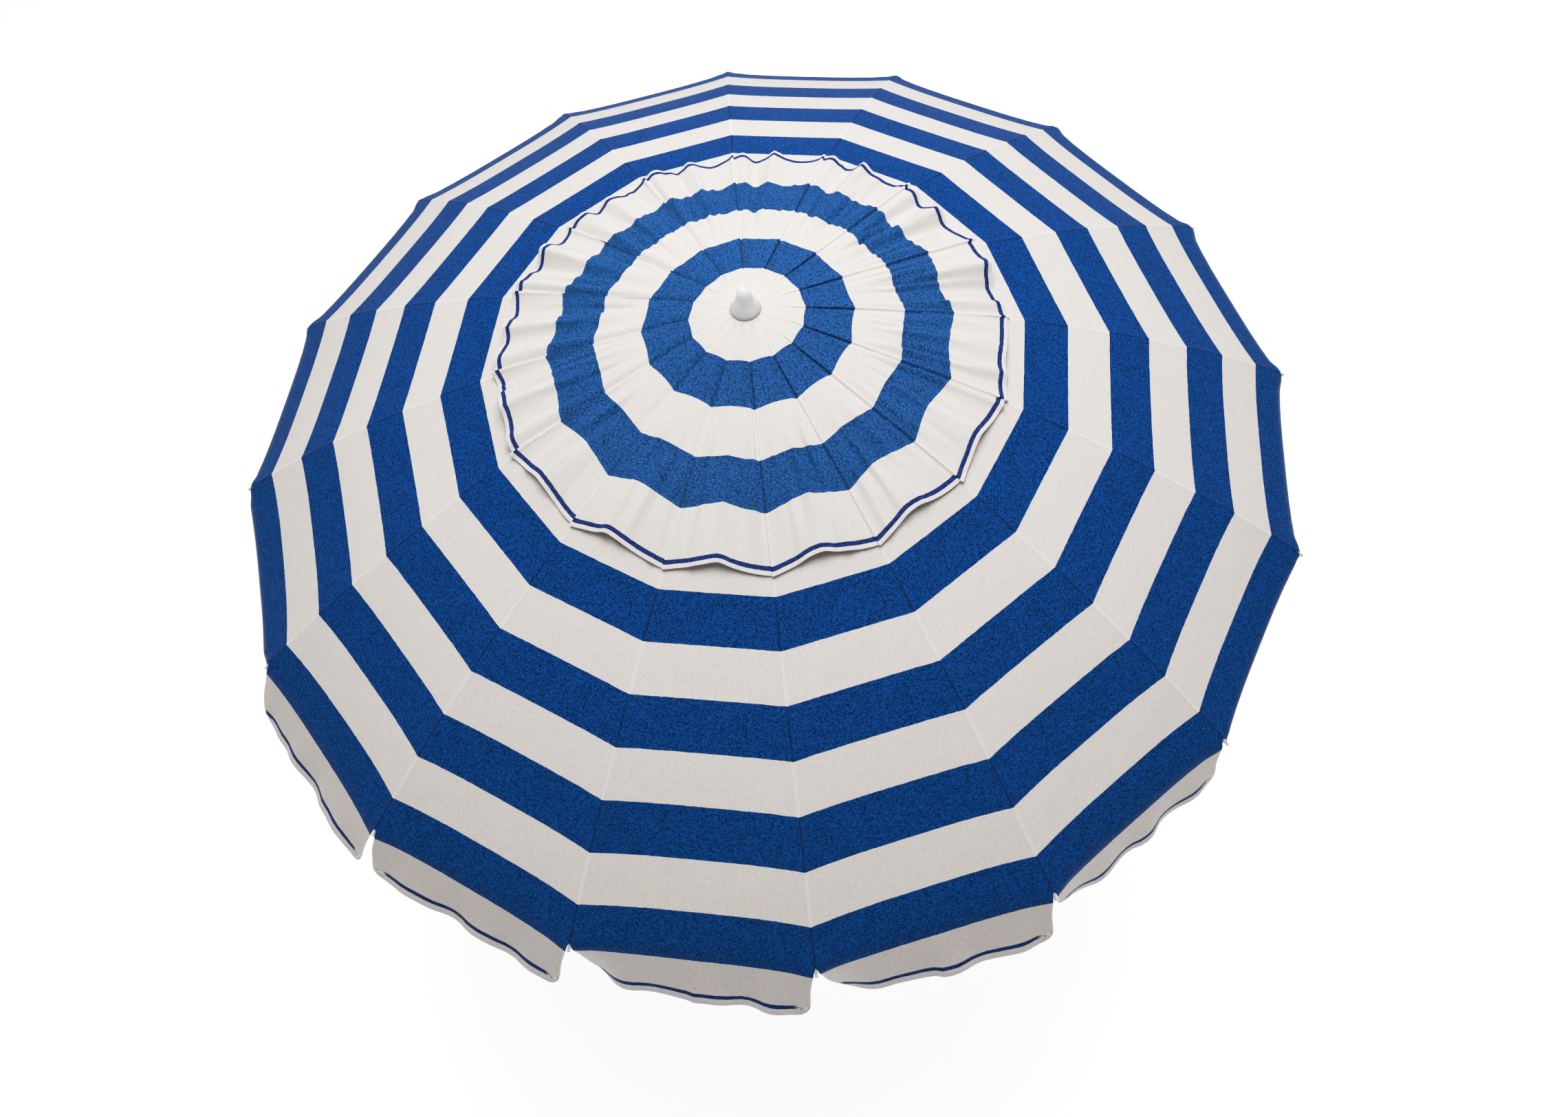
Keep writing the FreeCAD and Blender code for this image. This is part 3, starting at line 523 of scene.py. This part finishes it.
def cap_sheet(k, offsets, rows):
    tm = mid_azimuth(k)
    m = np.array([math.cos(tm), math.sin(tm), 0.0])
    t = np.array([-math.sin(tm), math.cos(tm), 0.0])
    s = np.repeat(rows[:, None], offsets.shape[1], 1)
    x = offsets
    r = arc_r(s)
    half = r * math.sin(ALPHA)
    e = (1 - np.abs(x)) * half
    phi = arc_phi(s)
    grow = np.clip((r - 165) / 330.0, 0, None) ** 1.4
    # stripes run a little further out at the seams, and the hem is drawn in at mid panel
    dip = np.interp(s, DIP_S, DIP) * (np.abs(x) ** 1.6 - 0.45)
    draw = round_table(DRAW, k, x) * np.clip((r - 220) / 275.0, 0, None) ** 1.5
    along = dip * (1 - 0.8 * smooth((s - 430) / 80)) - draw
    turn_to = np.degrees(tm + x * ALPHA) % 360.0
    along = along - 11.0 * np.exp(-((turn_to - 137.0) / 37.0) ** 2) * smooth((s - 50) / 60) * (1 - smooth((s - 415) / 85))
    # at the hem each gore starts a step further out than the one before it ends
    step = np.where(x > 0, -STEP[(k + 1) % N] * np.exp(-e / 22.0) * (1 - np.exp(-(e / 1.6) ** 2)), 0.0) * smooth((s - 470) / 50)
    along = along + step
    D = (r + along * np.cos(phi)) * math.cos(ALPHA)
    Z = arc_z(s) - along * np.sin(phi)
    Y = x * half
    # height over the ribs' line
    h = 1.9 + 1.8 * smooth((s - 330) / 30) + 1.2 * smooth((s - 360) / 160)
    lift = round_table(LIFT, k, x)
    lift = np.where(lift > -3, lift, -3 + 0.3 * (lift + 3))
    # sharp little crests, at the seams and about the middle of the panels
    crest = CREST_SEAM[k] * np.exp(-(1 + x) * half / 9.0) + CREST_SEAM[(k + 1) % N] * np.exp(-(1 - x) * half / 9.0)
    crest = crest + CREST_MID[k] * np.exp(-np.abs(x - CREST_AT[k]) * half / 10.0)
    lift = lift + crest * np.clip((r - 300) / 200, 0, 1)
    h = h + lift * grow
    # loose folds that run down the gore
    for x0, lean, width, tall, start, stop in folds[k]:
        centre = (x0 + lean * (s - 400) / 200.0) * half
        wide = width * np.clip(r / 400.0, 0.5, 1.3)
        on = smooth((s - start) / 110) * (1 - smooth((s - stop + 90) / 130))
        h = h + tall * on * np.exp(-((Y - centre) / wide) ** 2) * smooth(e / 12.0)
    # the panel's swell between seams, and the crease beside each seam
    h = h + 2.2 * smooth((r - 30) / 120) * (1 - np.abs(x) ** 6) * (1 - 0.4 * smooth((s - 420) / 100))
    wide = 3.6 + 9.0 * smooth((r - 60) / 320.0)
    deep = (0.5 + 3.5 * smooth((r - 40) / 130.0)) * (1 - 0.45 * smooth((s - 430) / 90))
    v = e / wide
    crease = np.where(x > 0, -deep * np.clip(v / 0.22, 0, 1) * np.exp(-((v - 0.22) / 0.75) ** 2 * (v > 0.22)), 0.0)
    ridge = 0.9 * smooth((r - 35) / 90.0) * np.exp(-(e / 3.2) ** 2)
    h = h + crease + ridge
    # the cloth lies on the ribs inside the vent, and on the canopy beyond it
    least = -1.5 + 4.3 * smooth((s - 334) / 20)
    h = least + np.where(h - least > 1.2, h - least, 1.2 * np.exp(np.minimum((h - least) / 1.2 - 1, 0)))
    D = D + np.sin(phi) * h
    Z = Z + np.cos(phi) * h
    P = D[..., None] * m + Y[..., None] * t + Z[..., None] * np.array([0, 0, 1.0])
    across = np.where(x < 0, e, -e)
    gap = np.minimum(C_END - s, s - C_START + 20)
    return P, np.stack([s, across, gap], -1)


# columns of half a panel, from the seam to the middle
NEAR = np.array([0.0, 0.9, 2.0, 3.2, 4.2, 5.2, 7.0, 10.0, 14.5, 21.0])


def columns(rows, far):
    """For each row, the columns' places from the seam (0) to the middle (1) as a share of the half width."""
    half = arc_r(np.minimum(rows, S_EDGE)) * math.sin(ALPHA)
    scale = np.minimum(1.0, half / 60.0)
    near = NEAR[None, :] * scale[:, None] / half[:, None]
    last = near[:, -1:]
    q = np.linspace(0, 1, far + 1)[1:]
    q = q ** 1.12
    return np.hstack([near, last + (1 - last) * q[None, :]])


def build_strip(name, k, sheet, rows, far, thick, slit_after, hem_from):
    """One gore's cloth round rib k, from the middle of the panel before it to the middle of the panel after it: a closed shell."""
    share = columns(rows, far)
    n_rows, n_cols = share.shape
    # one more column past the middle on each side, for the normals only
    beyond = 2 - share[:, -2:-1]
    share_x = np.hstack([share, beyond])
    grids = []
    for panel, sign in (((k - 1) % N, 1), (k, -1)):
        x = sign * (1 - share_x)
        P, A = sheet(panel, x, rows)
        A[..., 1] = -sign * np.abs(A[..., 1])
        grids.append((P, A))
    cols = n_cols + 1
    slit_row = n_rows if slit_after is None else int(np.searchsorted(rows, slit_after))
    # vertex numbers: grid 0 is the panel before the rib, grid 1 the one after; the seam column is shared down to the slit
    index = [np.arange(n_rows * cols).reshape(n_rows, cols), np.arange(n_rows * cols, 2 * n_rows * cols).reshape(n_rows, cols)]
    index[1][:slit_row, 0] = index[0][:slit_row, 0]
    points = np.concatenate([grids[0][0].reshape(-1, 3), grids[1][0].reshape(-1, 3)])
    attr = np.concatenate([grids[0][1].reshape(-1, 3), grids[1][1].reshape(-1, 3)])
    faces, ghost = [], []
    for g in (0, 1):
        I = index[g]
        a, b, c, d = I[:-1, :-1], I[:-1, 1:], I[1:, 1:], I[1:, :-1]
        quad = np.stack([a, d, c, b], -1) if g == 0 else np.stack([a, b, c, d], -1)
        # grid 1 runs anticlockwise seen from above, so that its columns turn the other way
        if g == 0:
            quad = np.stack([a, b, c, d], -1)
        else:
            quad = np.stack([a, d, c, b], -1)
        flag = np.zeros(quad.shape[:2], bool)
        flag[:, -1] = True
        faces.append(quad.reshape(-1, 4))
        ghost.append(flag.reshape(-1))
    faces = np.concatenate(faces)
    ghost = np.concatenate(ghost)

    def normals_of(pts):
        d1 = pts[faces[:, 2]] - pts[faces[:, 0]]
        d2 = pts[faces[:, 3]] - pts[faces[:, 1]]
        fn = np.cross(d1, d2)
        vn = np.zeros_like(pts)
        for c in range(4):
            np.add.at(vn, faces[:, c], fn)
        length = np.linalg.norm(vn, axis=1, keepdims=True)
        return vn / np.maximum(length, 1e-12)

    normal = normals_of(points)
    if np.sum(normal[:, 2]) < 0:
        faces = faces[:, ::-1]
        normal = -normal
    # a doubled band over the seam stands a little proud
    side = np.abs(attr[:, 1])
    band = 0.26 * (1 - smooth((side - 3.2) / 2.6)) * (attr[:, 0] < S_EDGE - 2)
    hem = np.clip((hem_from + 1.2 - attr[:, 2]) / 1.2, 0, 1)
    points = points + normal * (band + 0.5 * hem)[:, None]
    normal = normals_of(points)
    depth = thick + band * 0.6 + 1.0 * hem
    under = points - normal * depth[:, None]
    keep_faces = faces[~ghost]
    used = np.unique(keep_faces)
    new = -np.ones(len(points), int)
    new[used] = np.arange(len(used))
    top = new[keep_faces]
    count = len(used)
    pts = [points[used], under[used]]
    att = [attr[used], attr[used]]
    nor = [normal[used], -normal[used]]
    quads = [top, top[:, ::-1] + count]
    # the rims, rounded where the cloth is cut, flat where the next strip goes on
    edges = {}
    for q in top:
        for i in range(4):
            a, b = int(q[i]), int(q[(i + 1) % 4])
            if (b, a) in edges:
                del edges[(b, a)]
            else:
                edges[(a, b)] = True
    middle = set(new[index[0][:, n_cols - 1]]) | set(new[index[1][:, n_cols - 1]])
    out_dir = {}
    P0, N0 = points[used], normal[used]
    for a, b in edges:
        if a in middle and b in middle:
            continue
        d = P0[b] - P0[a]
        o = np.cross(d, N0[a] + N0[b])
        o = o / max(np.linalg.norm(o), 1e-9)
        for v in (a, b):
            out_dir[v] = out_dir.get(v, np.zeros(3)) + o
    rim = {}
    extra, extra_a, extra_n = [], [], []
    deep_used = depth[used]
    for v, o in out_dir.items():
        o = o / max(np.linalg.norm(o), 1e-9)
        rim[v] = 2 * count + len(extra)
        grow = 0.0 if v in middle else 0.42
        extra.append(P0[v] - N0[v] * deep_used[v] * 0.5 + o * deep_used[v] * grow)
        extra_a.append(attr[used][v])
        extra_n.append(o)
    rim_quads = []
    for a, b in edges:
        if a in middle and b in middle:
            rim_quads.append([b, a, a + count, b + count])
        else:
            rim_quads.append([b, a, rim[a], rim[b]])
            rim_quads.append([rim[b], rim[a], a + count, b + count])
    n_soft = len(quads[0]) * 2
    quads.append(np.array(rim_quads, int))
    if extra:
        pts.append(np.array(extra))
        att.append(np.array(extra_a))
        nor.append(np.array(extra_n))
    pts, att, nor, quads = (np.concatenate(q) for q in (pts, att, nor, quads))
    return make_mesh(name, pts * MM, quads, att * MM, nor)


def make_mesh(name, pts, quads, att, nor):
    mesh = bpy.data.meshes.new(name)
    mesh.vertices.add(len(pts))
    mesh.vertices.foreach_set("co", pts.astype(np.float32).ravel())
    mesh.loops.add(quads.size)
    mesh.loops.foreach_set("vertex_index", quads.astype(np.int32).ravel())
    mesh.polygons.add(len(quads))
    mesh.polygons.foreach_set("loop_start", (np.arange(len(quads)) * quads.shape[1]).astype(np.int32))
    mesh.update(calc_edges=True)
    mesh.polygons.foreach_set("use_smooth", np.ones(len(quads), bool))
    a = mesh.attributes.new("cloth", "FLOAT_VECTOR", "POINT")
    a.data.foreach_set("vector", att.astype(np.float32).ravel())
    mesh.validate()
    if nor is not None:
        mesh.normals_split_custom_set_from_vertices([tuple(v) for v in nor.astype(float)])
    mesh.update()
    obj = bpy.data.objects.new(name, mesh)
    scene.collection.objects.link(obj)
    return obj


main_rows = np.concatenate([np.arange(S_VENT, S_VENT + 10, 2.5), np.linspace(S_VENT + 10, 1196, 88), np.arange(1200, 1228, 4.0),
                            [1228.6], np.arange(1231, 1266, 3.5), np.linspace(1269, 1340, 16), np.array([1343.5, 1347.0, 1350.5, 1353.5, 1356.2, 1357.6, 1359.0, 1361.1, 1363.3, 1365.4, S_END])])
cap_rows = np.concatenate([np.linspace(C_START, 516.0, 92), np.array([519.5, 522.6, 524.0, 526.5, 529.0, C_END])])

for k in range(N):
    rib = "%02d" % (k + 1)
    strip = build_strip("canopy_cloth_" + rib, k, main_sheet, main_rows, 15, 0.8, 1229.5, 9.5)
    strip.data.materials.append(canvas)
    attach(strip, "rib_" + rib)
    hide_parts("canopy")
    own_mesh(strip)
    cap = build_strip("vent_cap_cloth_" + rib, k, cap_sheet, cap_rows, 14, 0.7, None, 7.5)
    cap.data.materials.append(cap_canvas)
    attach(cap, "rib_" + rib)
    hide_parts("vent_cap")
    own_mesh(cap)


# ---------------------------------------------------------------- turned and moulded pieces

def lathe(name, profile, turns=72, closed_top=True, cloth=False):
    """A turned piece about the umbrella's axis. profile is (radius, height) in metres, from the outside bottom up."""
    prof = np.array(profile, float)
    ang = np.linspace(0, 2 * math.pi, turns, endpoint=False)
    ring = np.stack([np.cos(ang), np.sin(ang)], -1)
    pts, quads, first = [], [], []
    tris = []
    for r, z in prof:
        if r < 1e-6:
            first.append((len(pts), 1))
            pts.append((0.0, 0.0, z))
        else:
            first.append((len(pts), turns))
            pts += [(r * c, r * s, z) for c, s in ring]
    for (a, na), (b, nb) in zip(first[:-1], first[1:]):
        for i in range(turns):
            j = (i + 1) % turns
            if na == 1 and nb == 1:
                continue
            if na == 1:
                tris.append((a, b + j, b + i))
            elif nb == 1:
                tris.append((a + i, a + j, b))
            else:
                quads.append((a + i, a + j, b + j, b + i))
    mesh = bpy.data.meshes.new(name)
    mesh.from_pydata(pts, [], quads + tris)
    mesh.update()
    mesh.polygons.foreach_set("use_smooth", np.ones(len(mesh.polygons), bool))
    obj = bpy.data.objects.new(name, mesh)
    scene.collection.objects.link(obj)
    return obj


def plastic(name, colour, roughness, grain=600.0, relief=0.00004, subsurface=0.0, coat=0.0):
    m, t, p = new_material(name)
    where = t.nodes.new("ShaderNodeTexCoord")
    fine = node(t, "ShaderNodeTexNoise", noise_dimensions="3D")
    fine.inputs["Scale"].default_value = grain
    fine.inputs["Detail"].default_value = 3.0
    t.links.new(where.outputs["Object"], fine.inputs["Vector"])
    broad = node(t, "ShaderNodeTexNoise", noise_dimensions="3D")
    broad.inputs["Scale"].default_value = 30.0
    broad.inputs["Detail"].default_value = 3.0
    t.links.new(where.outputs["Object"], broad.inputs["Vector"])
    shade = tuple(c * 0.86 for c in colour)
    mixed = mix_colour(t, map_range(t, broad.outputs[0], 0.35, 0.7), shade, colour)
    t.links.new(mixed, p.inputs["Base Color"])
    t.links.new(maths(t, "MULTIPLY_ADD", broad.outputs[0], 0.22, roughness - 0.11), p.inputs["Roughness"])
    bump = t.nodes.new("ShaderNodeBump")
    bump.inputs["Strength"].default_value = 0.6
    bump.inputs["Distance"].default_value = 1.0
    t.links.new(maths(t, "MULTIPLY", fine.outputs[0], relief), bump.inputs["Height"])
    t.links.new(bump.outputs[0], p.inputs["Normal"])
    p.inputs["Subsurface Weight"].default_value = subsurface
    p.inputs["Subsurface Radius"].default_value = (0.034, 0.030, 0.027)
    p.inputs["Subsurface Scale"].default_value = 1.0
    p.inputs["Coat Weight"].default_value = coat
    p.inputs["Coat Roughness"].default_value = 0.25
    return m


def painted_metal(name, colour, metal=0.0, roughness=0.35):
    m, t, p = new_material(name)
    where = t.nodes.new("ShaderNodeTexCoord")
    peel = node(t, "ShaderNodeTexNoise", noise_dimensions="3D")
    peel.inputs["Scale"].default_value = 900.0
    peel.inputs["Detail"].default_value = 2.0
    t.links.new(where.outputs["Object"], peel.inputs["Vector"])
    scuff = node(t, "ShaderNodeTexNoise", noise_dimensions="3D")
    scuff.inputs["Scale"].default_value = 22.0
    scuff.inputs["Detail"].default_value = 6.0
    scuff.inputs["Roughness"].default_value = 0.7
    t.links.new(where.outputs["Object"], scuff.inputs["Vector"])
    worn = map_range(t, scuff.outputs[0], 0.66, 0.76)
    base = mix_colour(t, maths(t, "MULTIPLY", worn, 0.35), colour, tuple(c * 0.55 for c in colour))
    base = mix_colour(t, map_range(t, scuff.outputs[0], 0.3, 0.7, 0.0, 0.12), base, tuple(c * 0.75 for c in colour))
    t.links.new(base, p.inputs["Base Color"])
    t.links.new(maths(t, "MULTIPLY_ADD", scuff.outputs[0], 0.28, roughness - 0.14), p.inputs["Roughness"])
    bump = t.nodes.new("ShaderNodeBump")
    bump.inputs["Strength"].default_value = 0.5
    bump.inputs["Distance"].default_value = 1.0
    t.links.new(maths(t, "MULTIPLY", peel.outputs[0], 0.00005), bump.inputs["Height"])
    t.links.new(bump.outputs[0], p.inputs["Normal"])
    p.inputs["Metallic"].default_value = metal
    return m


white_paint = painted_metal("white_painted_steel", (0.78, 0.78, 0.77))
spring_steel = painted_metal("bright_spring_steel", (0.62, 0.63, 0.65), 1.0, 0.32)
white_plastic = plastic("white_plastic", (0.80, 0.79, 0.77), 0.42)
clear_plastic = plastic("clear_white_plastic", (0.97, 0.955, 0.94), 0.50, 500.0, 0.00003, 1.0, 0.04)

H = 2.150
finial_profile = [(0.0, -0.002), (0.012, -0.002), (0.020, 0.0035), (0.0270, 0.0060), (0.0294, 0.0070), (0.0302, 0.0086), (0.0300, 0.0106), (0.0291, 0.0130),
                  (0.0274, 0.0158), (0.0253, 0.0190), (0.0231, 0.0226), (0.0210, 0.0266), (0.0192, 0.0310), (0.0178, 0.0356), (0.0167, 0.0402),
                  (0.0158, 0.0446), (0.0148, 0.0488), (0.0136, 0.0526), (0.0120, 0.0560), (0.0100, 0.0590),
                  (0.0078, 0.0614), (0.0055, 0.0633), (0.0031, 0.0646), (0.0, 0.0651)]
finial = lathe("finial_cap", [(r, H + z) for r, z in finial_profile], 96)
finial.data.materials.append(clear_plastic)
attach(finial, "upper_pole")
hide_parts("finial")

centre_profile = [(0.0, 2.1562), (0.0225, 2.1561), (0.0316, 2.1558), (0.0322, 2.1563), (0.0316, 2.1568), (0.0225, 2.1571), (0.0, 2.1573)]
centre = lathe("vent_cap_centre", centre_profile, 96)
a = centre.data.attributes.new("cloth", "FLOAT_VECTOR", "POINT")
a.data.foreach_set("vector", np.array([(math.hypot(v.co.x, v.co.y), 0.02, 0.05) for v in centre.data.vertices], np.float32).ravel())
centre.data.materials.append(cap_canvas)
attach(centre, "upper_pole")

# ---------------------------------------------------------------- finishes of the CAD parts
finish_of = {"lower_pole": white_paint, "upper_pole": white_paint, "clamp_collar": white_plastic, "clamp_knob": white_plastic,
             "catch_spring": spring_steel, "hub": white_plastic, "hub_wire": spring_steel, "runner": white_plastic, "runner_wire": spring_steel,
             "finial": clear_plastic, "canopy": canvas, "vent_cap": cap_canvas}
for name, obj in nodes.items():
    m = finish_of.get(name)
    if m is None:
        m = white_plastic if name.startswith("rib_tip") else white_paint
    if not obj.material_slots:
        if obj.hide_render:
            continue
        obj.data.materials.append(m)
    for slot_ in obj.material_slots:
        slot_.material = m

# ---------------------------------------------------------------- floor
floor_mesh = bpy.data.meshes.new("floor")
size = 16.0
floor_mesh.from_pydata([(-size, -size, 0), (size, -size, 0), (size, size, 0), (-size, size, 0)], [], [(0, 1, 2, 3)])
floor = bpy.data.objects.new("floor", floor_mesh)
scene.collection.objects.link(floor)
fm, ft, fp = new_material("pale_floor")
fp.inputs["Base Color"].default_value = (0.86, 0.86, 0.86, 1)
fp.inputs["Roughness"].default_value = 0.9
fp.inputs["Emission Color"].default_value = (1, 1, 1, 1)
fp.inputs["Emission Strength"].default_value = 0.72
floor_mesh.materials.append(fm)
